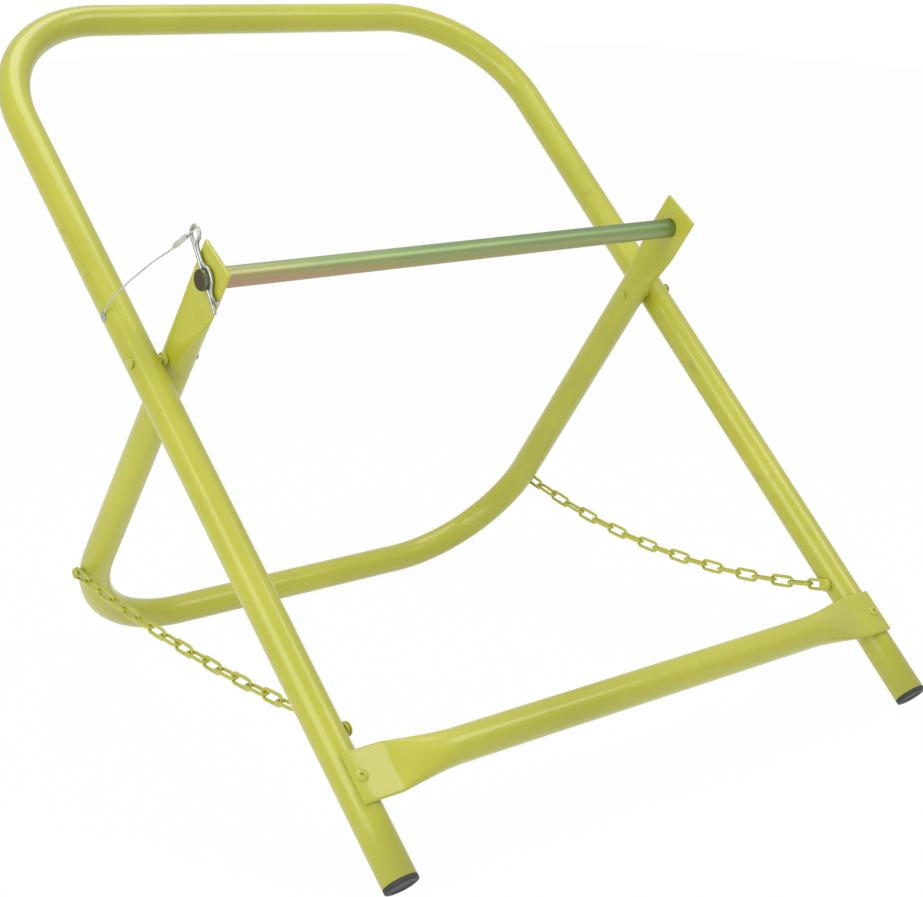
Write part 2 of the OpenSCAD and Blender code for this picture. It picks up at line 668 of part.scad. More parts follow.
handle_frame();
support_frame();
front_brace();
foot_cap(-1);  // foot_cap_left
foot_cap(1);  // foot_cap_right
pivot_rivet(-1);  // pivot_rivet_left
pivot_rivet(1);  // pivot_rivet_right
pivot_washer(-1);  // pivot_washer_left
pivot_washer(1);  // pivot_washer_right
brace_rivet(-1);  // brace_rivet_left
brace_rivet(1);  // brace_rivet_right
chain_bolt(-1);  // chain_bolt_left
chain_bolt(1);  // chain_bolt_right
chain_screw(-1);  // chain_screw_left
chain_screw(1);  // chain_screw_right
axle_rod();
hitch_pin();
lanyard();
lanyard_ferrule();
lanyard_rivet();
for (i = [0 : link_count - 1])
{
    chain_link(i, -1);
    chain_link(i, 1);
}
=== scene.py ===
# %% [markdown]
# # A folding cable caddy, dressed for the camera
# The caddy is a stand for a reel of cable. A tall tube frame bent like an upside-down U
# leans back over a second, lower U, the two cross on a rivet at each side, and a steel
# rod laid through the flattened ends of the lower one carries the reel. Two short chains
# stop the frames from spreading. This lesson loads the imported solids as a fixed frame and
# then models each visible piece again, with the softness of sheet steel, paint and plating.

# %% The fixed frame
import bpy
import bmesh
import math
from mathutils import Matrix, Vector


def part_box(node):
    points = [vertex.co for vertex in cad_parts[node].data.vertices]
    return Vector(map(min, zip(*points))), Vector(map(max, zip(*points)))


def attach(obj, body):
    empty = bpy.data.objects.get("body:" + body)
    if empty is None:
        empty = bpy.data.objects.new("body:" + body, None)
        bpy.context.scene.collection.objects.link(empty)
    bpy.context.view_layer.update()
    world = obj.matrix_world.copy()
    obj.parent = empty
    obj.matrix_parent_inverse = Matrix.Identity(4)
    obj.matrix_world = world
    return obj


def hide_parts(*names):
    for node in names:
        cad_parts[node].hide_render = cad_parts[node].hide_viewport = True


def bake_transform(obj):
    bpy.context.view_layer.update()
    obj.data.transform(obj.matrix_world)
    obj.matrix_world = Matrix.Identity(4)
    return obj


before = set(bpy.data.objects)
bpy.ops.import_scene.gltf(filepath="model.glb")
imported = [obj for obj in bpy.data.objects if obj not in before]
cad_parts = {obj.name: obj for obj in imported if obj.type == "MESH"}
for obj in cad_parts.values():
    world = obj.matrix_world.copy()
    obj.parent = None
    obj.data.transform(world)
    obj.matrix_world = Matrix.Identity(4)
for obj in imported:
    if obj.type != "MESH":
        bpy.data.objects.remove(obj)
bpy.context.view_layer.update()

# %% [markdown]
# ## The camera
# A photograph fixes the place the camera stood. The edges of every straight tube, the
# rivets, the pivots, the foot caps and the ends of the rod were measured in it, and the
# camera was solved from them. It is written down as a place, three directions and a focal
# length, and comes first, because everything after it is judged through it.

# %% Camera where the photograph was taken
eye_place = Vector((-0.909198, -1.132859, 0.597456))
image_right = Vector((0.7769515, -0.6291647, 0.0223187))
image_down = Vector((-0.1518965, -0.2217443, -0.9632014))
view_depth = Vector((0.6109611, 0.7449707, -0.2678525))
focal_pixels, picture_pixels, sensor_mm = 1841.665, 923, 36.0
camera_data = bpy.data.cameras.new("photo_camera")
camera_data.sensor_width = sensor_mm
camera_data.sensor_fit = "HORIZONTAL"
camera_data.lens = focal_pixels / picture_pixels * sensor_mm
camera_data.clip_start = 0.05
camera = bpy.data.objects.new("photo_camera", camera_data)
bpy.context.scene.collection.objects.link(camera)
turn = Matrix((image_right, -image_down, -view_depth)).transposed().to_4x4()
camera.matrix_world = Matrix.Translation(eye_place) @ turn
bpy.context.scene.camera = camera
print("lens %.2f mm" % camera_data.lens)

# %% [markdown]
# ## The sizes that every piece shares
# Each piece below is modelled lying flat in its own plane, where its sizes are easy to
# write, and is then stood up in the frame by one matrix. The two tilts and the height of
# the pivot are the same as in the part's source, so every piece lands on its solid.

# %% Shared sizes, in metres
MM = 0.001
tube_r = 12.7 * MM  # one-inch tube
leg_x = 260 * MM  # from the middle to a leg of the handle frame
arm_x = 231.2 * MM  # from the middle to an arm of the support frame
pivot_h = 295.06 * MM  # height of the pivots above the floor
mid_y = -22.99 * MM  # middle of the footprint, seen from the pivots
handle_tilt = 41.535  # degrees up from lying flat
support_tilt = 55.176
pivot_ahead = 5 * MM  # the pivots lie this far in front of the handle frame's plane
support_lift = 1.5 * MM  # and this far below the support frame's plane
rod_at = 77 * MM  # from the pivots up the arms to the rod
rod_mm = 7.95  # radius of the rod, in millimetres
plate_t = 3 * MM
plate_w = 38 * MM
at_pivot = Matrix.Translation((0, -mid_y, pivot_h))
in_handle = (at_pivot @ Matrix.Rotation(math.radians(handle_tilt), 4, "X")
             @ Matrix.Translation((0, 0, -pivot_ahead)))
in_support = (at_pivot @ Matrix.Rotation(math.radians(-support_tilt), 4, "X")
              @ Matrix.Translation((0, 0, support_lift)))
rod_place = in_support @ Vector((0, -rod_at, 0))
print("pivot at", [round(v, 4) for v in at_pivot.translation],
      "rod at", [round(v, 4) for v in rod_place])

# %% [markdown]
# ## Hands and tools
# A few short helpers stand in for what a modeller does by hand: clear the selection, start
# a ring of edges, push it along, swing it round a corner, and at the end merge the doubles
# and turn the faces outwards.

# %% Starting a ring and moving it
hair = 1e-6  # points nearer than this, in metres, count as one


def all_clear():
    if bpy.context.mode != "OBJECT":
        bpy.ops.object.mode_set(mode="OBJECT")
    bpy.ops.object.select_all(action="DESELECT")


def start_ring(name, radius, sides, at, facing, fill="NOTHING"):
    """A circle at a point; facing is the turn that points its axis the right way."""
    all_clear()
    bpy.ops.mesh.primitive_circle_add(vertices=sides, radius=radius, fill_type=fill,
                                      location=at, rotation=facing)
    piece = bpy.context.object
    piece.name = name
    piece.data.name = name
    bpy.ops.object.transform_apply(location=True, rotation=True, scale=True)
    bpy.ops.object.mode_set(mode="EDIT")
    bpy.ops.mesh.select_all(action="SELECT")
    return piece


def push(x, y, z):
    bpy.ops.mesh.extrude_region_move(TRANSFORM_OT_translate={"value": (x, y, z)})


def swing(centre, degrees, steps):
    """Bend the open end round an upright axis; degrees count anticlockwise from above."""
    bpy.ops.mesh.spin(steps=steps, angle=math.radians(-degrees), center=centre, axis=(0, 0, 1))


print("helpers: start_ring, push, swing")


# %% Choosing points and closing a mesh
def pick(piece, test):
    """Select the points for which the test holds, and the edges and faces among them."""
    mesh = bmesh.from_edit_mesh(piece.data)
    for v in mesh.verts:
        v.select = bool(test(v.co))
    mesh.select_mode = {"VERT"}
    mesh.select_flush_mode()
    bmesh.update_edit_mesh(piece.data)


def close_up(piece, smooth=40):
    """Merge doubles, turn faces outwards and shade soft up to an angle."""
    if bpy.context.mode != "EDIT_MESH":
        bpy.ops.object.mode_set(mode="EDIT")
    bpy.ops.mesh.select_all(action="SELECT")
    bpy.ops.mesh.remove_doubles(threshold=hair)
    bpy.ops.mesh.normals_make_consistent(inside=False)
    bpy.ops.object.mode_set(mode="OBJECT")
    bpy.ops.object.shade_smooth_by_angle(angle=math.radians(smooth))
    return piece


print("helpers: pick, close_up")


# %% Standing a piece up and handing it over
def stand(piece, matrix):
    """Put a piece that was modelled flat in its place, and leave the place in its mesh."""
    all_clear()
    piece.select_set(True)
    bpy.context.view_layer.objects.active = piece
    piece.matrix_world = matrix
    bpy.ops.object.transform_apply(location=True, rotation=True, scale=True)


def finish_with(piece, kind, **settings):
    """Add a modifier with its settings and apply it."""
    all_clear()
    piece.select_set(True)
    bpy.context.view_layer.objects.active = piece
    bpy.ops.object.modifier_add(type=kind)
    modifier = piece.modifiers[-1]
    for key, value in settings.items():
        setattr(modifier, key, value)
    bpy.ops.object.modifier_apply(modifier=modifier.name)


def hand_over(piece, body, node, material):
    """Material, body, and the solid it stands for, which is hidden."""
    piece.data.materials.clear()
    piece.data.materials.append(material)
    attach(piece, body)
    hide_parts(node)
    print("%-18s %6d faces on %s" % (piece.name, len(piece.data.polygons), body))


print("helpers: stand, finish_with, hand_over")

# %% [markdown]
# ## Finishes
# The whole stand is dipped in a yellow-green stove paint, thick enough to round small
# edges and to lie a little unevenly. Paint is a skin, so its material needs three things
# over its colour: a slow drift of tone, the fine dimpling that painters call orange peel,
# and a few places where handling has dulled or thinned it. Those three are shared with the
# bare metals and the plastics, so they are built once as a node group. First come short
# ways to write nodes.

# %% Nodes in one line each
def noise(nodes, links, vector, scale, detail=2.0, rough=0.5):
    """Scale is a number, or the socket that gives it."""
    node = nodes.new("ShaderNodeTexNoise")
    if isinstance(scale, float):
        node.inputs["Scale"].default_value = scale
    else:
        links.new(scale, node.inputs["Scale"])
    node.inputs["Detail"].default_value = detail
    node.inputs["Roughness"].default_value = rough
    links.new(vector, node.inputs["Vector"])
    return node


def sums(nodes, links, operation, a, b=None, c=None, clamp=False):
    node = nodes.new("ShaderNodeMath")
    node.operation = operation
    node.use_clamp = clamp
    for socket, value in zip(node.inputs, (a, b, c)):
        if value is None:
            continue
        if isinstance(value, (int, float)):
            socket.default_value = value
        else:
            links.new(value, socket)
    return node.outputs[0]


def ramp(nodes, links, factor, stops):
    """Stops are (place, colour); the first two take the ramp's own ends."""
    node = nodes.new("ShaderNodeValToRGB")
    for i, (place, colour) in enumerate(stops):
        stop = node.color_ramp.elements[i] if i < 2 else node.color_ramp.elements.new(place)
        stop.position = place
        stop.color = (*colour, 1.0)
    links.new(factor, node.inputs["Fac"])
    return node.outputs["Color"]


print("helpers: noise, sums, ramp")


# %% A node group for surfaces that are handled
def new_group(name, inputs, outputs):
    group = bpy.data.node_groups.new(name, "ShaderNodeTree")
    for title, kind, value in inputs:
        socket = group.interface.new_socket(name=title, in_out="INPUT", socket_type=kind)
        if value is not None:
            socket.default_value = value
    for title, kind in outputs:
        group.interface.new_socket(name=title, in_out="OUTPUT", socket_type=kind)
    return group, group.nodes.new("NodeGroupInput"), group.nodes.new("NodeGroupOutput")


def build_skin():
    group, first, last = new_group(
        "handled_skin",
        [("Vector", "NodeSocketVector", None), ("Grain", "NodeSocketFloat", 700.0),
         ("Drift", "NodeSocketFloat", 9.0), ("Rub", "NodeSocketFloat", 40.0)],
        [("Tone", "NodeSocketFloat"), ("Dimples", "NodeSocketFloat"),
         ("Rubbed", "NodeSocketFloat")])
    nodes, links = group.nodes, group.links
    place = first.outputs["Vector"]
    run_scale, run_share = 60.0, 2.5      # slow waves under the fine grain
    rub_from, rub_sharpness = 0.62, 9.0   # only the highest spots are rubbed
    drift = noise(nodes, links, place, first.outputs["Drift"], 3.0)
    links.new(drift.outputs["Fac"], last.inputs["Tone"])
    grain = noise(nodes, links, place, first.outputs["Grain"], 1.0)
    runs = noise(nodes, links, place, run_scale, 1.0)
    both = sums(nodes, links, "MULTIPLY_ADD", runs.outputs["Fac"], run_share, grain.outputs["Fac"])
    links.new(both, last.inputs["Dimples"])
    rub = noise(nodes, links, place, first.outputs["Rub"], 6.0, 0.7)
    rare = sums(nodes, links, "SUBTRACT", rub.outputs["Fac"], rub_from)
    rubbed = sums(nodes, links, "MULTIPLY", rare, rub_sharpness, clamp=True)
    links.new(rubbed, last.inputs["Rubbed"])
    return group


handled_skin = build_skin()
print("group", handled_skin.name, [s.name for s in handled_skin.interface.items_tree])


# %% A start for every material
def new_material(name):
    material = bpy.data.materials.new(name)
    material.use_nodes = True
    nodes, links = material.node_tree.nodes, material.node_tree.links
    shader = nodes["Principled BSDF"]
    place = nodes.new("ShaderNodeTexCoord").outputs["Object"]
    return material, nodes, links, shader, place


def skin_on(nodes, links, place, grain, drift, rub):
    node = nodes.new("ShaderNodeGroup")
    node.node_tree = handled_skin
    node.inputs["Grain"].default_value = grain
    node.inputs["Drift"].default_value = drift
    node.inputs["Rub"].default_value = rub
    links.new(place, node.inputs["Vector"])
    return node


def mixed(nodes, links, factor, a, b):
    node = nodes.new("ShaderNodeMix")
    node.data_type = "RGBA"
    links.new(factor, node.inputs["Factor"])
    for socket, value in ((node.inputs["A"], a), (node.inputs["B"], b)):
        if isinstance(value, tuple):
            socket.default_value = (*value, 1.0)
        else:
            links.new(value, socket)
    return node.outputs["Result"]


def roughen(nodes, links, shader, low, high, factor):
    node = nodes.new("ShaderNodeMapRange")
    node.inputs["To Min"].default_value = low
    node.inputs["To Max"].default_value = high
    links.new(factor, node.inputs["Value"])
    links.new(node.outputs["Result"], shader.inputs["Roughness"])


def dimple(nodes, links, shader, height, strength, distance):
    node = nodes.new("ShaderNodeBump")
    node.inputs["Strength"].default_value = strength
    node.inputs["Distance"].default_value = distance
    links.new(height, node.inputs["Height"])
    links.new(node.outputs["Normal"], shader.inputs["Normal"])


print("helpers: new_material, skin_on, mixed, roughen, dimple")

# %% [markdown]
# The paint itself: the base colour drifts between a slightly greener and a slightly
# yellower tone, and dull patches lie where hands go. Stove enamel has a soft body under a
# smooth, glassy skin, so a fairly rough base throws the broad light along the tubes, and a
# clear coat over it draws the narrower bright line inside.

# %% Stove paint
def make_paint():
    material, nodes, links, shader, place = new_material("stove_paint")
    greener, yellower = (0.462, 0.476, 0.026), (0.580, 0.574, 0.044)
    dulled = (0.400, 0.398, 0.045)
    skin = skin_on(nodes, links, place, 520.0, 7.0, 30.0)
    base = ramp(nodes, links, skin.outputs["Tone"], [(0.30, greener), (0.70, yellower)])
    worn = mixed(nodes, links, skin.outputs["Rubbed"], base, dulled)
    links.new(worn, shader.inputs["Base Color"])
    roughen(nodes, links, shader, 0.36, 0.50, skin.outputs["Tone"])
    dimple(nodes, links, shader, skin.outputs["Dimples"], 0.05, 0.0003)
    shader.inputs["Coat Weight"].default_value = 0.65
    shader.inputs["Coat Roughness"].default_value = 0.15
    return material


stove_paint = make_paint()
print("finish", stove_paint.name)

# %% [markdown]
# The rod is plated and then dipped in a yellow chromate, which leaves an oil-like film:
# green, gold and a dusky pink that slide into each other along the bar. The place along the
# bar picks the colour from a ramp, and a noise that is stretched along the bar shifts it.
# The height on its round side shifts the colour too, which is painted shade: greener
# towards the top and pinker towards the underside. The stub outside the left plate is
# drawn dark olive. Drawing marks run lengthways.

# %% Chromated rod
def make_rod_plating():
    material, nodes, links, shader, place = new_material("rod_plating")
    per_metre, at_middle = 0.9, 0.50        # how the film changes along the bar
    painted_shade_per_height = 22.0                       # painted shade, from the underside of the bar to its top
    shift, shift_from = 0.55, -0.27         # and with the noise
    stub_sharpness, stub_x = 900.0, 0.2335  # the tint begins just outside the left plate
    olive = (0.17, 0.21, 0.12)
    stretch = nodes.new("ShaderNodeMapping")
    stretch.inputs["Scale"].default_value = (1.0, 14.0, 14.0)
    links.new(place, stretch.inputs["Vector"])
    slow = noise(nodes, links, stretch.outputs["Vector"], 4.5, 3.0, 0.55)
    split = nodes.new("ShaderNodeSeparateXYZ")
    links.new(place, split.inputs["Vector"])
    along = sums(nodes, links, "MULTIPLY_ADD", split.outputs["X"], per_metre, at_middle)
    # painted shade: the colour follows the height on the round bar, greener on top and pinker
    # below
    painted_shade_by_height = sums(nodes, links, "MULTIPLY_ADD", split.outputs["Z"], painted_shade_per_height,
                -painted_shade_per_height * rod_place.z)
    drift = sums(nodes, links, "MULTIPLY_ADD", slow.outputs["Fac"], shift, shift_from)
    film_and_painted_shade = sums(nodes, links, "ADD", along, drift)
    film_and_painted_shade = sums(nodes, links, "ADD", film_and_painted_shade, painted_shade_by_height, clamp=True)
    colour = ramp(nodes, links, film_and_painted_shade, [
        (0.00, (0.47, 0.27, 0.23)), (1.00, (0.23, 0.32, 0.16)), (0.18, (0.49, 0.30, 0.24)),
        (0.34, (0.44, 0.36, 0.17)), (0.52, (0.33, 0.39, 0.17)), (0.68, (0.23, 0.33, 0.15)),
        (0.84, (0.16, 0.23, 0.10))])
    stub = sums(nodes, links, "MULTIPLY_ADD", split.outputs["X"], -stub_sharpness,
                -stub_sharpness * stub_x, clamp=True)
    links.new(mixed(nodes, links, stub, colour, olive), shader.inputs["Base Color"])
    shader.inputs["Metallic"].default_value = 0.85
    marks = nodes.new("ShaderNodeMapping")
    marks.inputs["Scale"].default_value = (4.0, 260.0, 260.0)
    links.new(place, marks.inputs["Vector"])
    draw = noise(nodes, links, marks.outputs["Vector"], 6.0, 2.0)
    roughen(nodes, links, shader, 0.36, 0.50, slow.outputs["Fac"])
    dimple(nodes, links, shader, draw.outputs["Fac"], 0.10, 0.0004)
    return material


rod_plating = make_rod_plating()
print("finish", rod_plating.name)

# %% [markdown]
# The spring pin is bright zinc, and the sleeve that crimps the lanyard is soft grey metal.
# The wire of the lanyard is clad in clear plastic gone a little milky, and the caps and
# the sawn end of the rod are dark and dull. One recipe serves them all with their own
# values: a tone that drifts, a roughness that follows it and a fine grain. They differ in
# how they wear, because metal rubs darker and plastic paler.

# %% Bright and dull metals, plastic and the wire
def make_worn(name, dark, light, gloss, grain, strength, metal):
    """Gloss is the lowest and the highest roughness; strength is that of the grain."""
    material, nodes, links, shader, place = new_material(name)
    drift, rub, depth = (60.0, 160.0, 0.0002) if metal else (80.0, 220.0, 0.0004)
    worn = tuple(c * 0.85 for c in dark) if metal else light
    skin = skin_on(nodes, links, place, grain, drift, rub)
    base = ramp(nodes, links, skin.outputs["Tone"], [(0.32, dark), (0.68, light)])
    rubbed = mixed(nodes, links, skin.outputs["Rubbed"], base, worn)
    links.new(rubbed, shader.inputs["Base Color"])
    shader.inputs["Metallic"].default_value = 0.9 if metal else 0.0
    roughen(nodes, links, shader, *gloss, skin.outputs["Tone"])
    dimple(nodes, links, shader, skin.outputs["Dimples"], strength, depth)
    return material


bright_zinc = make_worn("bright_zinc", (0.34, 0.36, 0.33), (0.52, 0.54, 0.50),
                        (0.16, 0.26), 300.0, 0.04, metal=True)
sleeve_metal = make_worn("sleeve_metal", (0.62, 0.63, 0.58), (0.78, 0.79, 0.74),
                         (0.30, 0.44), 500.0, 0.05, metal=True)
sawn_steel = make_worn("sawn_steel", (0.075, 0.065, 0.035), (0.13, 0.115, 0.065),
                       (0.55, 0.75), 1800.0, 0.12, metal=True)
clad_wire = make_worn("clad_wire", (0.50, 0.51, 0.47), (0.68, 0.69, 0.65),
                      (0.28, 0.42), 2400.0, 0.3, metal=False)
cap_plastic = make_worn("cap_plastic", (0.020, 0.024, 0.020), (0.042, 0.048, 0.042),
                        (0.48, 0.66), 1500.0, 0.35, metal=False)
print("materials:", sorted(m.name for m in bpy.data.materials))

# %% [markdown]
# ## The lanyard
# A thin wire rope keeps the pin from being lost. It leaves a small rivet on the outside of
# the leg, goes round the front of the leg, and ends in a crimped sleeve and a loop in the
# eye of the pin. A wire like this is best drawn as a route of points with a soft curve
# through them and given thickness. The points by the leg are counted in the plane of the
# handle frame, and the others along the sleeve.

# %% Where the pin, the sleeve and the wire lie
anchor_at = 47 * MM
eye_at, eye_r, pin_wire, pin_lean = 33 * MM, 5.6 * MM, 2.8 * MM, 30.0
ferrule_len, ferrule_w, ferrule_lean = 21 * MM, 7.6 * MM, 30.0
ferrule_roll, ferrule_rise = 30.0, 3.0
cord_d = 1.3 * MM
pin_x = 235.2 * MM
wire_off = cord_d / 2 + 0.35 * MM                 # from the sleeve's middle to each strand
ferrule_end = eye_r + pin_wire / 2 + 1.6 * MM     # from the eye's middle to the sleeve
lean = math.radians(pin_lean)
eye_centre = (rod_place.y + eye_at * math.sin(lean) - eye_r * math.cos(lean),
              rod_place.z + eye_at * math.cos(lean) + eye_r * math.sin(lean))
sleeve_turn = math.radians(ferrule_lean)
ferrule_v = (-math.cos(sleeve_turn), math.sin(sleeve_turn))
ferrule_n = (math.sin(sleeve_turn), math.cos(sleeve_turn))


def at_leg(x, up, ahead):
    return in_handle @ Vector((-leg_x - x * MM, up * MM, ahead * MM))


def at_ferrule(x, d):
    step = d * MM - ferrule_end
    turn = math.radians(ferrule_roll)
    rise = (ferrule_rise + x * math.sin(turn)) * MM
    return Vector((-pin_x + x * math.cos(turn) * MM,
                   eye_centre[0] + step * ferrule_v[0] + rise * ferrule_n[0],
                   eye_centre[1] + step * ferrule_v[1] + rise * ferrule_n[1]))


print("eye of the pin at y %.4f z %.4f" % eye_centre)


# %% The route of the wire
def soft_curve(points, size):
    out = []
    for i in range(len(points) - 1):
        a, b = points[max(i - 1, 0)], points[i]
        c, d = points[i + 1], points[min(i + 2, len(points) - 1)]
        steps = max(1, round((c - b).length / size))
        for j in range(steps):
            t = j / steps
            out.append(0.5 * (2 * b + (c - a) * t + (2 * a - 5 * b + 4 * c - d) * t * t
                              + (3 * b - a - 3 * c + d) * t ** 3))
    return out + [points[-1]]


def run_length(points):
    return sum((b - a).length for a, b in zip(points, points[1:]))


off = wire_off / MM
leg_side = 12.7 + 0.65 + 0.1  # the tube's radius, half the wire and a little air
by_the_leg = [(leg_side, 47, 5), (leg_side, 47.5, 9), (11.8, 48, 17), (8.6, 48.4, 26),
              (4, 48.8, 36), (-3, 49.2, 47), (-11, 50, 57.5)]
by_the_sleeve = [(-2.4, -28), (-off, -21), (-off, -10.5), (-off, 0), (-2.5, 2), (-2.9, 4.4),
                 (-1.9, 6.8), (0, 7.9), (1.9, 6.8), (2.9, 4.4), (2.5, 2), (off, 0),
                 (off, -10.5), (off, -23)]
route = [at_leg(*spot) for spot in by_the_leg] + [at_ferrule(*spot) for spot in by_the_sleeve]
wire = soft_curve(route, 1.0 * MM)
print("whole lanyard %.1f mm in %d points" % (run_length(wire) / MM, len(wire)))

# %% [markdown]
# The wire crosses three moving joints: the fold, the turn of the rod and the pull of the
# pin. A bend can follow one joint only, so the wire is cut twice, 16 and 5 points before
# it enters the sleeve.

# %% Three lengths of wire
def wire_piece(name, points, thickness):
    """A round wire along points, as a mesh with closed ends."""
    all_clear()
    curve = bpy.data.curves.new(name, "CURVE")
    curve.dimensions = "3D"
    curve.bevel_depth = thickness / 2
    curve.bevel_resolution = 3
    curve.use_fill_caps = True
    line = curve.splines.new("POLY")
    line.points.add(len(points) - 1)
    for spot, p in zip(line.points, points):
        spot.co = (p[0], p[1], p[2], 1.0)
    piece = bpy.data.objects.new(name, curve)
    bpy.context.scene.collection.objects.link(piece)
    piece.select_set(True)
    bpy.context.view_layer.objects.active = piece
    bpy.ops.object.convert(target="MESH")
    piece = bpy.context.object
    piece.name = name
    bpy.ops.object.mode_set(mode="EDIT")
    return close_up(piece, smooth=60)


def nearest(points, spot):
    return min(range(len(points)), key=lambda i: (points[i] - spot).length)


near_sleeve = nearest(wire, route[8])  # where the wire goes into the sleeve
past_leg = nearest(wire, route[5])     # where it has come round the front of the leg
cut_a = near_sleeve - 16
cut_b = near_sleeve - 5
print("wire reaches the sleeve after %.1f mm" % (run_length(wire[:near_sleeve + 1]) / MM))
wire_ends = [("lanyard_turn", cut_a, cut_b, cut_a + 1, cut_b - 1, "support", "rod"),
             ("lanyard_fixed", 0, cut_a, past_leg, cut_a - 1, "handle", "support"),
             ("lanyard_loop", cut_b, len(wire) - 1, cut_b + 1, near_sleeve, "rod", "pin")]
for name, first, last, calm, moving, body_a, body_b in wire_ends:
    part = wire[first:last + 1]
    piece = wire_piece(name, part, cord_d)
    piece.data.materials.append(clad_wire)
    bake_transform(piece)
    if name == "lanyard_fixed":
        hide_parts("lanyard")
    print(name, "%.1f mm from x %.1f" % (run_length(part) / MM, part[0].x / MM))

# %% [markdown]
# ## The handle frame
# One length of 25 mm tube, bent twice, is the handle and both front legs. A modeller can
# draw it as a ring of edges at one foot that is pushed up the leg, swung round the first
# bend, pushed across and swung again, which is also how the bending machine makes it. A
# list of straights and bends is enough to say where it goes, so one helper walks along
# such a list. The tube gets its wall afterwards, so its feet are open rims, as the real
# ones are under their caps.

# %% Walking a tube along straights and bends
def walk(piece, x, y, heading, steps, fine=8.0):
    """Steps are (length, parts) for a straight and (radius, degrees, 0) for a bend.

    Degrees count anticlockwise, and fine is how many of them lie between two rings.
    """
    for step in steps:
        rad = math.radians(heading)
        if len(step) == 2:
            length, parts = step
            for _ in range(parts):
                push(length / parts * math.cos(rad), length / parts * math.sin(rad), 0)
            x, y = x + length * math.cos(rad), y + length * math.sin(rad)
            continue
        radius, degrees = step[0], step[1]
        hand = 1 if degrees > 0 else -1
        cx, cy = x - hand * radius * math.sin(rad), y + hand * radius * math.cos(rad)
        swing((cx, cy, 0), degrees, max(2, round(abs(degrees) / fine)))
        heading += degrees
        rad = math.radians(heading)
        x, y = cx + hand * radius * math.sin(rad), cy - hand * radius * math.cos(rad)
    return x, y, heading


print("helpers: walk")

# %% Bent tube for the handle and front legs
tube_sides, bend_fine, wall = 48, 3.2, 1.5 * MM
leg_reach, handle_reach, handle_bend = 425 * MM, 349 * MM, 110 * MM
cap_rim = 3.6 * MM
leg_run = handle_reach - handle_bend + leg_reach - cap_rim
handle = start_ring("handle_tube", tube_r, tube_sides, (-leg_x, cap_rim - leg_reach, 0),
                    (math.pi / 2, 0, 0))
walk(handle, -leg_x, cap_rim - leg_reach, 90,
     [(leg_run, 10), (handle_bend, -90, 0), (2 * (leg_x - handle_bend), 4),
      (handle_bend, -90, 0), (leg_run, 10)], fine=bend_fine)
close_up(handle)
finish_with(handle, "SOLIDIFY", thickness=wall, offset=-1.0, use_even_offset=True)
stand(handle, in_handle)
hand_over(handle, "handle", "handle_frame", stove_paint)

# %% [markdown]
# ## The support frame
# The lower frame is the same tube, but a press has squeezed both of its ends flat, because
# the rod needs a flat plate to pass through. Scaling a ring in one direction would make it
# an ellipse. A pressed tube keeps the length of its wall, so once the tube has been walked
# round, each ring near an end has its points moved to a place on a line between the round
# and the flat section: two straight sides and two tight half-round edges.

# %% The shape that a press gives to a tube
def pressed(angle, half_w, half_t, roundness):
    """Place of a point, from its angle on the round tube: wide first, thin second."""
    a = angle % (2 * math.pi)
    quarter = (a - math.pi / 4) / (math.pi / 2)
    side = int(math.floor(quarter)) % 4
    t = quarter - math.floor(quarter)
    core = half_w - half_t
    flat = [(core * (1 - 2 * t), half_t),
            (-core - half_t * math.sin(math.pi * t), half_t * math.cos(math.pi * t)),
            (core * (2 * t - 1), -half_t),
            (core + half_t * math.sin(math.pi * t), -half_t * math.cos(math.pi * t))][side]
    return [roundness * tube_r * c + (1 - roundness) * f
            for c, f in zip((math.cos(a), math.sin(a)), flat)]


def opening_out(t, crease):
    """How round the tube is at a share t of its flare; crease: how sharply the fold starts."""
    t = min(max(t, 0.0), 1.0)
    return crease * t * (2 - t) + (1 - crease) * t * t * (3 - 2 * t)


def stations(flat, flare, rings=16):
    """Distances from the cut end at which the tube gets a ring."""
    before_fold = 1.2 * MM
    rows = [flat * 0.5, flat - before_fold, flat]
    return rows + [flat + flare * i / rings for i in range(1, rings + 1)]


print("pressed at its fold:", [round(opening_out(i / 4, 0.5), 3) for i in range(5)])


# %% Closing and rounding pressed ends
def close_ends(piece, at_start):
    """Fill the open ring where the walk ended and then the one where it began."""
    bpy.ops.mesh.edge_face_add()
    pick(piece, at_start)
    bpy.ops.mesh.edge_face_add()


def round_rims(piece, at_rim, radius=0.35 * MM):
    bpy.ops.mesh.select_mode(type="EDGE")
    pick(piece, at_rim)
    bpy.ops.mesh.bevel(offset=radius, segments=2, affect="EDGES")
    close_up(piece, smooth=35)


print("helpers: close_ends, round_rims")

# %% Bent tube with pressed ends for the support frame
support_reach, support_bend = 345 * MM, 110 * MM
arm_end, arm_flat, arm_flare, arm_crease = 21 * MM, 41 * MM, 48 * MM, 0.35
plate_top = -rod_at - arm_end
arm_rows = stations(arm_flat, arm_flare)
arm_down = [(b - a, 1) for a, b in zip([0.0] + arm_rows, arm_rows)]
arm_rest = support_reach - support_bend - plate_top - arm_rows[-1]
support = start_ring("support_tube", tube_r, tube_sides, (-arm_x, plate_top, 0),
                     (math.pi / 2, 0, 0))
walk(support, -arm_x, plate_top, 90,
     arm_down + [(arm_rest, 6), (support_bend, -90, 0), (2 * (arm_x - support_bend), 4),
                 (support_bend, -90, 0), (arm_rest, 6)] + arm_down[::-1], fine=bend_fine)
close_ends(support, lambda c: abs(c.y - plate_top) < hair and c.x < 0)
mesh = bmesh.from_edit_mesh(support.data)
for v in mesh.verts:
    down = v.co.y - plate_top
    if down < arm_rows[-1] - hair:
        centre = math.copysign(arm_x, v.co.x)
        roundness = opening_out((down - arm_flat) / arm_flare, arm_crease)
        angle = math.atan2(v.co.x - centre, v.co.z)
        wide, thin = pressed(angle, plate_w / 2, plate_t / 2, roundness)
        v.co.x, v.co.z = centre + thin, wide
bmesh.update_edit_mesh(support.data)
round_rims(support, lambda c: abs(c.y - plate_top) < hair)
print("arm flat for %.0f mm, round again after %.0f mm" % (arm_flat / MM, arm_rows[-1] / MM))

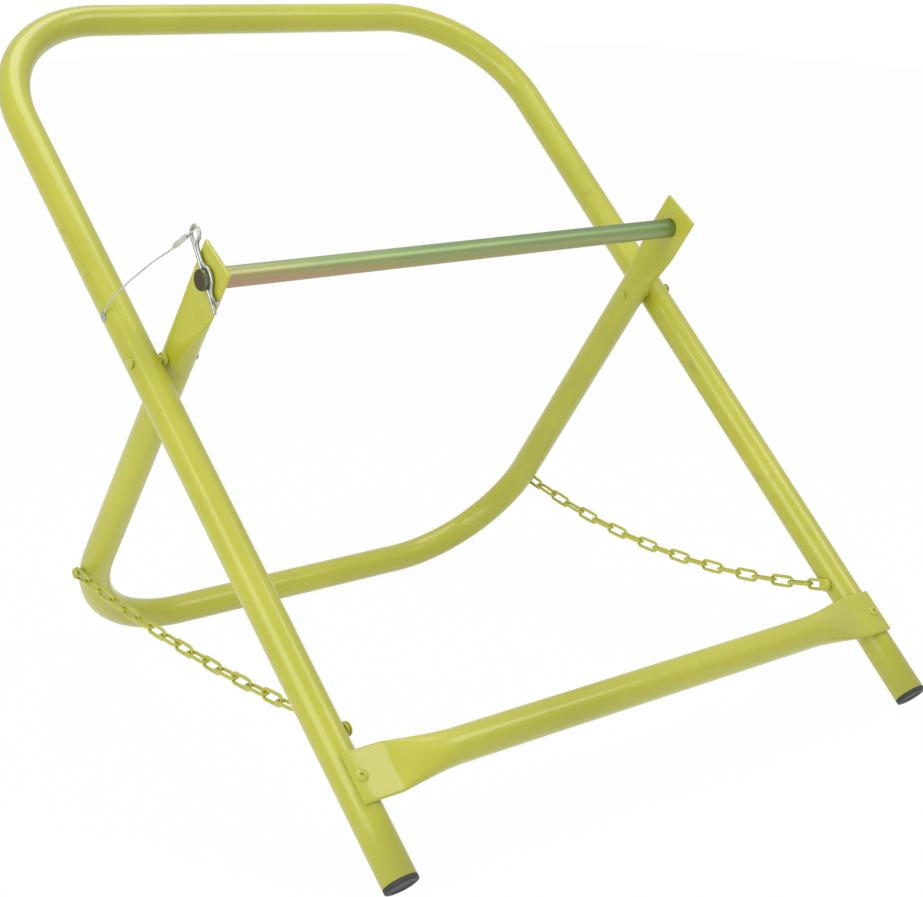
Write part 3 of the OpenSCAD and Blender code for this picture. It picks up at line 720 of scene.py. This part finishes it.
# %% [markdown]
# The rod goes through both plates in a drilled hole. A boolean with one long cylinder
# drills both at once, a little wider than the rod, so that it lies in them with some play.

# %% Rod holes through the pressed ends
rod_r = rod_mm * MM
hole_play = 0.25 * MM
all_clear()
bpy.ops.mesh.primitive_cylinder_add(vertices=64, radius=rod_r + hole_play, depth=2 * leg_x,
                                    location=(0, -rod_at, 0), rotation=(0, math.pi / 2, 0))
drill = bpy.context.object
drill.name = "drill"
finish_with(support, "BOOLEAN", operation="DIFFERENCE", solver="EXACT", object=drill)
bpy.data.objects.remove(drill)
stand(support, in_support)
hand_over(support, "support", "support_frame", stove_paint)

# %% [markdown]
# ## The front brace
# A straight tube ties the two legs. Its ends are pressed like the arms of the support
# frame, but shorter, and the plates lie on the fronts of the legs. The photograph shows a
# plain crease where the plate starts to open out, so the press is given a sharper start.

# %% Brace with two pressed ends
brace_at, brace_over = 351 * MM, 12.6 * MM
brace_flat, brace_flare, brace_crease = 31 * MM, 58 * MM, 0.6
brace_end = leg_x + brace_over / 2
brace_rows = stations(brace_flat, brace_flare)
brace_in = [(b - a, 1) for a, b in zip([0.0] + brace_rows, brace_rows)]
brace_rest = 2 * (brace_end - brace_rows[-1])
brace = start_ring("front_brace_tube", tube_r, tube_sides, (-brace_end, 0, 0),
                   (0, math.pi / 2, 0))
walk(brace, -brace_end, 0, 0, brace_in + [(brace_rest, 12)] + brace_in[::-1])
close_ends(brace, lambda c: abs(c.x + brace_end) < hair)
mesh = bmesh.from_edit_mesh(brace.data)
for v in mesh.verts:
    inward = brace_end - abs(v.co.x)
    if inward < brace_rows[-1] - hair:
        roundness = opening_out((inward - brace_flat) / brace_flare, brace_crease)
        angle = math.atan2(v.co.z, v.co.y)
        v.co.y, v.co.z = pressed(angle, plate_w / 2, plate_t / 2, roundness)
bmesh.update_edit_mesh(brace.data)
round_rims(brace, lambda c: abs(abs(c.x) - brace_end) < hair)
stand(brace, in_handle @ Matrix.Translation((0, -brace_at, tube_r + plate_t / 2)))
hand_over(brace, "handle", "front_brace", stove_paint)

# %% [markdown]
# ## Turned pieces
# Rivets, washers, bolts, screws, caps and the rod are all round about one line. A disc of
# edges is pushed along the line and scaled at each step of a profile, as if turned on a
# lathe. Heads are domed with a soft lip, because paint has filled their corners. Profiles
# are lists of (radius, height) in millimetres.

# %% A lathe for small pieces
def turned(name, profile, sides=40, hollow=False):
    """Hollow is for a profile whose last ring closes on its first."""
    r0, z0 = profile[0]
    fill = "NOTHING" if hollow else "NGON"
    piece = start_ring(name, r0 * MM, sides, (0, 0, z0 * MM), (0, 0, 0), fill)
    for r1, z1 in profile[1:]:
        push(0, 0, (z1 - z0) * MM)
        bpy.ops.transform.resize(value=(r1 / r0, r1 / r0, 1), center_override=(0, 0, z1 * MM))
        r0, z0 = r1, z1
    return close_up(piece)


def dome_rows(radius, height, base):
    """A domed head from its crown down to its lip, standing on a height."""
    steps, lip, crown = 7, 0.25, 0.12
    rows = []
    for i in range(steps + 1):
        a = math.radians(90) * (crown + (1 - crown) * i / steps)
        rows.append((radius * math.sin(a), base + lip + (height - lip) * math.cos(a)))
    return rows + [(radius, base + lip * 0.4), (radius - 0.15, base)]


def out_along_x(side, place):
    """A frame whose height points outwards, to the left for -1 and to the right for 1."""
    return place @ Matrix.Rotation(math.radians(90 * side), 4, "Y")


sides_of = {"left": -1, "right": 1}
print("rows of a dome:", len(dome_rows(4.2, 1.7, 0.0)))

# %% [markdown]
# The foot caps are moulded plugs. A shallow dish in the sole and a small chamfer where the
# tube's end sits on the rim make the rim read as a piece of its own.

# %% Foot caps
sole = [(8.2, 0.7), (8.6, 0.5), (9.0, 0.12), (9.4, 0.0), (11.6, 0.0), (12.3, 0.22)]
rim = [(12.62, 0.7), (12.68, 1.2), (12.68, 3.2), (12.5, 3.55)]
plug = [(11.1, 3.6), (11.05, 12.0), (10.7, 19.0), (9.8, 19.6)]
for word, side in sides_of.items():
    cap = turned("foot_cap_%s_moulded" % word, sole + rim + plug, sides=48)
    stand(cap, in_handle @ Matrix.Translation((side * leg_x, -leg_reach, 0))
          @ Matrix.Rotation(math.radians(-90), 4, "X"))
    hand_over(cap, "handle", "foot_cap_" + word, cap_plastic)

# %% [markdown]
# A rivet goes through both tubes on each side, and a washer keeps the tubes apart. Both
# wear the frame's paint, and the rivet's two heads are one dome that faces in and out.

# %% Pivot rivets and the washers between the tubes
head_r, head_h, shank_r, sunk = 4.2, 1.7, 3.2, 0.1
span = (leg_x + 2 * tube_r - arm_x) / MM
inner_head = [(r, -sunk - h) for r, h in dome_rows(head_r, head_h, 0.0)]
outer_head = [(r, span + h) for r, h in dome_rows(head_r, head_h, 0.0)][::-1]
rivet_profile = inner_head + [(shank_r, -sunk), (shank_r, span)] + outer_head
washer_profile = [(3.4, 0.1), (4.5, 0.1), (4.8, 0.4), (4.85, 1.7), (4.8, 3.0), (4.5, 3.3),
                  (3.4, 3.3), (3.4, 0.1)]
for word, side in sides_of.items():
    outwards = out_along_x(side, at_pivot)
    rivet = turned("pivot_rivet_%s_turned" % word, rivet_profile)
    stand(rivet, outwards @ Matrix.Translation((0, 0, arm_x - tube_r)))
    hand_over(rivet, "handle", "pivot_rivet_" + word, stove_paint)
    washer = turned("pivot_washer_%s_turned" % word, washer_profile, hollow=True)
    stand(washer, outwards @ Matrix.Translation((0, 0, arm_x + tube_r)))
    hand_over(washer, "handle", "pivot_washer_" + word, stove_paint)

# %% [markdown]
# Blind rivets hold the brace. A mandrel was pulled through each and broke off inside, so
# the head has a small hole in its middle, which the profile starts in.

# %% Blind rivets of the brace
mandrel_hole = [(1.25, -2.6), (1.4, 0.9), (1.55, 1.25)]
blind_head = [(1.9, 1.45), (2.6, 1.42), (3.5, 1.15), (4.3, 0.7), (4.7, 0.35), (4.75, 0.12),
              (4.6, 0.0)]
blind_shank = [(2.35, 0.0), (2.35, -5.4), (3.1, -5.9), (3.15, -7.2), (1.4, -7.6)]
for word, side in sides_of.items():
    rivet = turned("brace_rivet_%s_set" % word, mandrel_hole + blind_head + blind_shank, sides=36)
    stand(rivet, in_handle @ Matrix.Translation((side * leg_x, -brace_at, tube_r + plate_t)))
    hand_over(rivet, "handle", "brace_rivet_" + word, stove_paint)

# %% [markdown]
# Each chain hangs between a domed bolt on the inside of a leg and a flat, slotted screw on
# the outside of the support frame.

# %% Chain bolts on the legs and chain screws on the support frame
chain_x, bolt_at, screw_at = 245.4 * MM, 312 * MM, 255 * MM
half_wire_and_play = 1.55 * MM
bolt_top = (chain_x - half_wire_and_play) / MM
screw_top = (chain_x + half_wire_and_play) / MM
bolt_in = (leg_x - tube_r) / MM + 3.4
bolt_profile = ([(r, bolt_top - h) for r, h in dome_rows(5.4, 2.6, 0.0)]
                + [(2.3, bolt_top), (2.3, bolt_in), (2.0, bolt_in + 0.1)])
screw_profile = [(1.9, screw_top - 9), (2.3, screw_top - 8.6), (2.3, screw_top),
                 (4.3, screw_top), (4.5, screw_top + 0.25), (4.5, screw_top + 1.0),
                 (4.2, screw_top + 1.45), (3.4, screw_top + 1.7), (1.6, screw_top + 1.8)]
for word, side in sides_of.items():
    bolt = turned("chain_bolt_%s_turned" % word, bolt_profile)
    stand(bolt, out_along_x(side, in_handle @ Matrix.Translation((0, -bolt_at, 0))))
    hand_over(bolt, "handle", "chain_bolt_" + word, stove_paint)
    screw = turned("chain_screw_%s_turned" % word, screw_profile)
    all_clear()
    bpy.ops.mesh.primitive_cube_add(size=1, location=(0, 0, (screw_top + 2.0) * MM),
                                    scale=(12 * MM, 1.0 * MM, 1.8 * MM))
    cutter = bpy.context.object
    finish_with(screw, "BOOLEAN", operation="DIFFERENCE", solver="EXACT", object=cutter)
    bpy.data.objects.remove(cutter)
    stand(screw, out_along_x(side, in_support @ Matrix.Translation((0, screw_at, 0))))
    hand_over(screw, "support", "chain_screw_" + word, stove_paint)

# %% [markdown]
# The wire of the lanyard starts at a small rivet on the outside of the left leg, which is
# bare zinc.

# %% Rivet of the lanyard
anchor_profile = [(0.85, -1.2), (0.95, 0.8), (1.3, 1.1), (2.2, 1.1), (3.2, 0.8), (3.9, 0.4),
                  (3.95, 0.12), (3.8, 0.0), (1.95, 0.0), (1.95, -2.7), (1.6, -3.0)]
anchor = turned("lanyard_rivet_set", anchor_profile, sides=36)
stand(anchor, in_handle @ Matrix.Translation((-leg_x - tube_r, anchor_at, 0))
      @ Matrix.Rotation(math.radians(-90), 4, "Y"))
hand_over(anchor, "handle", "lanyard_rivet", bright_zinc)

# %% [markdown]
# ## The rod
# The rod is a plain bar with a sawn end on the left, slightly rounded by tumbling, and a
# collar behind the right plate that stops it. Only the sawn face has lost its plating, so
# that face alone gets the dull steel.

# %% Rod with a sawn face
rod_left, rod_right, collar_from, collar_mm = -239.9, 236.7, 233.7, 10.95
sawn_end = [(6.6, rod_left), (7.3, rod_left + 0.12), (7.75, rod_left + 0.45),
            (rod_mm, rod_left + 1.1)]
bar = [(rod_mm, rod_left + 8 + 46.6 * i) for i in range(11)] + [(rod_mm, collar_from)]
collar = [(10.5, collar_from), (collar_mm, 234.1), (collar_mm, 236.2), (10.5, rod_right)]
rod = turned("rod_bar", sawn_end + bar + collar, sides=64)
stand(rod, Matrix.Translation((0, rod_place.y, rod_place.z))
      @ Matrix.Rotation(math.radians(90), 4, "Y"))
hand_over(rod, "rod", "axle_rod", rod_plating)
rod.data.materials.append(sawn_steel)
for face in rod.data.polygons:
    if face.center.x < (rod_left + 0.3) * MM:
        face.material_index = 1

# %% [markdown]
# ## The spring pin
# The pin is one piece of spring wire: a straight leg that goes through the rod, a round
# eye, and a second leg that comes back with a neck, a hump that grips the rod and a tail
# that kicks out. It is walked like the tubes, only thinner. The radii of its arcs are
# chosen, and the angles at which they meet follow from where their centres lie.

# %% Sizes of the spring pin, in millimetres
pin_tip, pin_tail, tip_len = 27.0, 3.4, 1.2
leg_gap, hump_r = pin_wire / MM + 0.3, rod_mm + 1.4 + 0.2
wave_r, neck_r = 8.0, 5.0
wave_v = math.sqrt((hump_r + wave_r) ** 2 - (leg_gap + wave_r) ** 2)
wave_a = math.degrees(math.atan2(wave_v, leg_gap + wave_r))
eye = eye_r / MM
neck_v = math.sqrt((eye + neck_r) ** 2 - (leg_gap + neck_r - eye) ** 2)
neck_a = math.degrees(math.atan2(neck_v, leg_gap + neck_r - eye))
print("pin: neck turns %.1f degrees, hump %.1f" % (neck_a, 2 * wave_a))


# %% Spring pin
def taper(piece, at, rows):
    """Rows are (length in millimetres, share): a step, and how its end is shrunk or swollen."""
    for length, share in rows:
        at = walk(piece, *at, [(length * MM, 1)])
        ring = [v for v in bmesh.from_edit_mesh(piece.data).verts if v.select]
        middle = sum((v.co for v in ring), Vector()) / len(ring)
        bpy.ops.transform.resize(value=(share, share, share), center_override=middle)
    return at


pin = start_ring("spring_pin", 0.45 * pin_wire / 2, 20, (0, -pin_tip * MM, 0),
                 (math.pi / 2, 0, 0))
bpy.ops.mesh.edge_face_add()
pick(pin, lambda c: True)
bpy.ops.mesh.select_mode(type="EDGE")
at = taper(pin, (0.0, -pin_tip * MM, 90), ((0.2, 1.65), (0.4, 1.22), (0.6, 1.104)))
straight_leg = [((pin_tip + eye_at / MM - tip_len) * MM, 12)]
eye_and_neck = [(eye * MM, 180 + neck_a, 0), (neck_r * MM, -neck_a, 0)]
wavy_leg = [((eye_at / MM - neck_v - wave_v) * MM, 5), (wave_r * MM, -wave_a, 0),
            (hump_r * MM, 2 * wave_a, 0), (wave_r * MM, -wave_a - 45, 0), (pin_tail * MM, 2)]
at = walk(pin, *at, straight_leg + eye_and_neck + wavy_leg, fine=9)
taper(pin, at, ((0.3, 0.9), (0.25, 0.7), (0.05, 0.5)))
bpy.ops.mesh.edge_face_add()
close_up(pin, smooth=60)
lie_in_side_view = Matrix(((0, 0, 1, 0), (1, 0, 0, 0), (0, 1, 0, 0), (0, 0, 0, 1)))
stand(pin, Matrix.Translation((-pin_x, rod_place.y, rod_place.z))
      @ Matrix.Rotation(math.radians(-pin_lean), 4, "X") @ lie_in_side_view)
hand_over(pin, "pin", "hitch_pin", bright_zinc)

# %% [markdown]
# The sleeve is a short oval tube that holds two strands of the wire, and a crimping tool
# has bitten it twice. Each row of its table says how far along it lies and how wide and
# how thick the oval is there, as shares of its plain size.

# %% Crimped sleeve
sleeve_rows = [(0.0, 0.86, 0.80), (0.25, 0.98, 0.96), (1.6, 1.0, 1.0), (4.6, 1.0, 1.0),
               (6.0, 1.04, 0.74), (8.4, 1.04, 0.74), (9.8, 1.0, 0.98), (11.2, 1.0, 0.98),
               (12.6, 1.04, 0.74), (15.0, 1.04, 0.74), (16.4, 1.0, 1.0), (19.4, 1.0, 1.0),
               (20.75, 0.98, 0.96), (21.0, 0.86, 0.80)]
sleeve = start_ring("crimp_sleeve", 1 * MM, 40, (0, 0, 0), (0, 0, 0), "NGON")
half_w, half_t = ferrule_w / MM / 2, ferrule_w / MM * 0.28
bpy.ops.transform.resize(value=(half_w * sleeve_rows[0][1], half_t * sleeve_rows[0][2], 1),
                         center_override=(0, 0, 0))
for (z0, w0, t0), (z1, w1, t1) in zip(sleeve_rows, sleeve_rows[1:]):
    push(0, 0, (z1 - z0) * MM)
    bpy.ops.transform.resize(value=(w1 / w0, t1 / t0, 1), center_override=(0, 0, z1 * MM))
close_up(sleeve, smooth=50)
stand(sleeve, Matrix.Translation(at_ferrule(0, -ferrule_len / MM))
      @ Matrix.Rotation(math.radians(90 - ferrule_lean), 4, "X")
      @ Matrix.Rotation(math.radians(ferrule_roll), 4, "Z"))
hand_over(sleeve, "pin", "lanyard_ferrule", sleeve_metal)

# %% [markdown]
# ## The chains
# Each chain is nineteen links of welded wire, and the paint has run into them. One link is
# walked as a closed loop of wire, and a slight swelling on one side stands for its weld.

# %% One link
link_inner, link_wire, link_w, weld_share = 20.5, 2.7, 10.4, 1.16
link_rc = (link_w - link_wire) / 2
link_half = (link_inner + link_wire) / 2 - link_rc
link = start_ring("link_pattern", link_wire / 2 * MM, 14, (link_rc * MM, -link_half * MM, 0),
                  (math.pi / 2, 0, 0))
walk(link, link_rc * MM, -link_half * MM, 90,
     [(2 * link_half * MM, 8), (link_rc * MM, 180, 0), (2 * link_half * MM, 4),
      (link_rc * MM, 180, 0)], fine=18)
pick(link, lambda c: c.x > 0 and abs(c.y) < 0.1 * MM)
bpy.ops.transform.resize(value=(weld_share, 1.0, weld_share),
                         center_override=(link_rc * MM, 0, 0))
close_up(link, smooth=60)
print("link faces", len(link.data.polygons))

# %% [markdown]
# The link is then copied to each solid's middle and turned to that link's own direction,
# every second one on edge, and the middle ones roll a little about their own line. Each
# copy has its own mesh and rides on its own body.

# %% Thirty-eight copies
links_each, middle_link = 19, 9
chain_dir = 0.33  # degrees that the middle link rises; each next one turns by chain_step
for word, chain_step, most_roll in (("left", 0.7028, 7), ("right", 1.4995, 11)):
    for i in range(links_each):
        node = "chain_%s_%02d" % (word, i + 1)
        low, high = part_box(node)
        roll = most_roll * min(1, i / 4, (links_each - 1 - i) / 4)
        copy = bpy.data.objects.new(node + "_welded", link.data.copy())
        bpy.context.scene.collection.objects.link(copy)
        lay = (Matrix.Translation((low + high) / 2)
               @ Matrix.Rotation(math.radians(chain_dir + chain_step * (i - middle_link)), 4, "X")
               @ Matrix.Rotation(math.radians((90 if i % 2 == 0 else 0) + roll), 4, "Y"))
        copy.data.transform(lay)
        copy.data.materials.append(stove_paint)
        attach(copy, node)
        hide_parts(node)
bpy.data.objects.remove(link)

# %% [markdown]
# ## The studio
# The stand was shot on white under large soft lamps. The floor and the background show
# white to the camera, and nearly so in reflections, but light the stand at a plain, lower
# level. The Light Path node tells the two apart: it says which kind of ray is asking. The
# floor still takes a faint shadow, because a small share of it stays a plain surface.

# %% Floor
floor_glow = 0.975


def seen_by(nodes, links, *kinds):
    """One where any of these kinds of ray looks, else zero."""
    rays = nodes.new("ShaderNodeLightPath")
    seen = rays.outputs[kinds[0]]
    for kind in kinds[1:]:
        seen = sums(nodes, links, "MAXIMUM", seen, rays.outputs[kind])
    return seen


all_clear()
bpy.ops.mesh.primitive_plane_add(size=14, location=(0, 0, -0.0006))
floor = bpy.context.object
floor.name = "studio_floor"
material, nodes, links, shader, place = new_material("studio_floor")
shader.inputs["Base Color"].default_value = (0.92, 0.92, 0.91, 1)
shader.inputs["Roughness"].default_value = 0.9
glow = nodes.new("ShaderNodeEmission")
seen = seen_by(nodes, links, "Is Camera Ray", "Is Glossy Ray", "Is Transmission Ray")
share = sums(nodes, links, "MULTIPLY", seen, floor_glow)
blend_in = nodes.new("ShaderNodeMixShader")
links.new(share, blend_in.inputs["Fac"])
links.new(shader.outputs["BSDF"], blend_in.inputs[1])
links.new(glow.outputs["Emission"], blend_in.inputs[2])
links.new(blend_in.outputs["Shader"], nodes["Material Output"].inputs["Surface"])
floor.data.materials.append(material)
print("floor glows by", floor_glow)

# %% World
room_light, mirror_share = 0.385, 0.6
world = bpy.data.worlds.new("studio_world")
bpy.context.scene.world = world
world.use_nodes = True
nodes, links = world.node_tree.nodes, world.node_tree.links
sky = nodes["Background"]
sky.inputs["Color"].default_value = (1, 1, 1, 1)
seen = seen_by(nodes, links, "Is Camera Ray", "Is Transmission Ray")
glossy = sums(nodes, links, "MULTIPLY", seen_by(nodes, links, "Is Glossy Ray"), mirror_share)
level = nodes.new("ShaderNodeMapRange")
level.inputs["To Min"].default_value = room_light
level.inputs["To Max"].default_value = 1.0
links.new(sums(nodes, links, "MAXIMUM", seen, glossy), level.inputs["Value"])
links.new(level.outputs["Result"], sky.inputs["Strength"])
print("room light", room_light)

# %% [markdown]
# Four lamps light the stand. The one at the left draws the long bright lines on the legs,
# and the one above fills the tops of the tubes. The low one keeps the undersides from
# going dark. The last hangs high in front, where the left plate of the brace mirrors it to
# the camera, so that the plate is pale and its crease sharp, as in the photograph.

# %% Lamps
def lamp(name, place, target, size, watts):
    data = bpy.data.lights.new(name, "AREA")
    data.shape = "RECTANGLE"
    data.size, data.size_y = size
    data.energy = watts
    item = bpy.data.objects.new(name, data)
    bpy.context.scene.collection.objects.link(item)
    item.location = place
    item.rotation_euler = (Vector(target) - Vector(place)).to_track_quat("-Z", "Y").to_euler()


lamp("left_softbox", (-2.1, -0.6, 1.5), (0, 0, 0.25), (1.1, 1.7), 17)
lamp("front_softbox", (0.80, -0.93, 1.62), (0, 0, 0.15), (0.8, 0.8), 6.5)
lamp("low_fill", (-1.7, -1.2, 0.45), (0, 0, 0.2), (1.2, 0.9), 6)
lamp("top_softbox", (0.1, 0.5, 2.4), (0, 0, 0.2), (1.5, 1.5), 19)
bpy.context.scene.view_settings.view_transform = "Standard"

# %% [markdown]
# ## Last step
# The selection is cleared.

# %% Clearing the selection
all_clear()
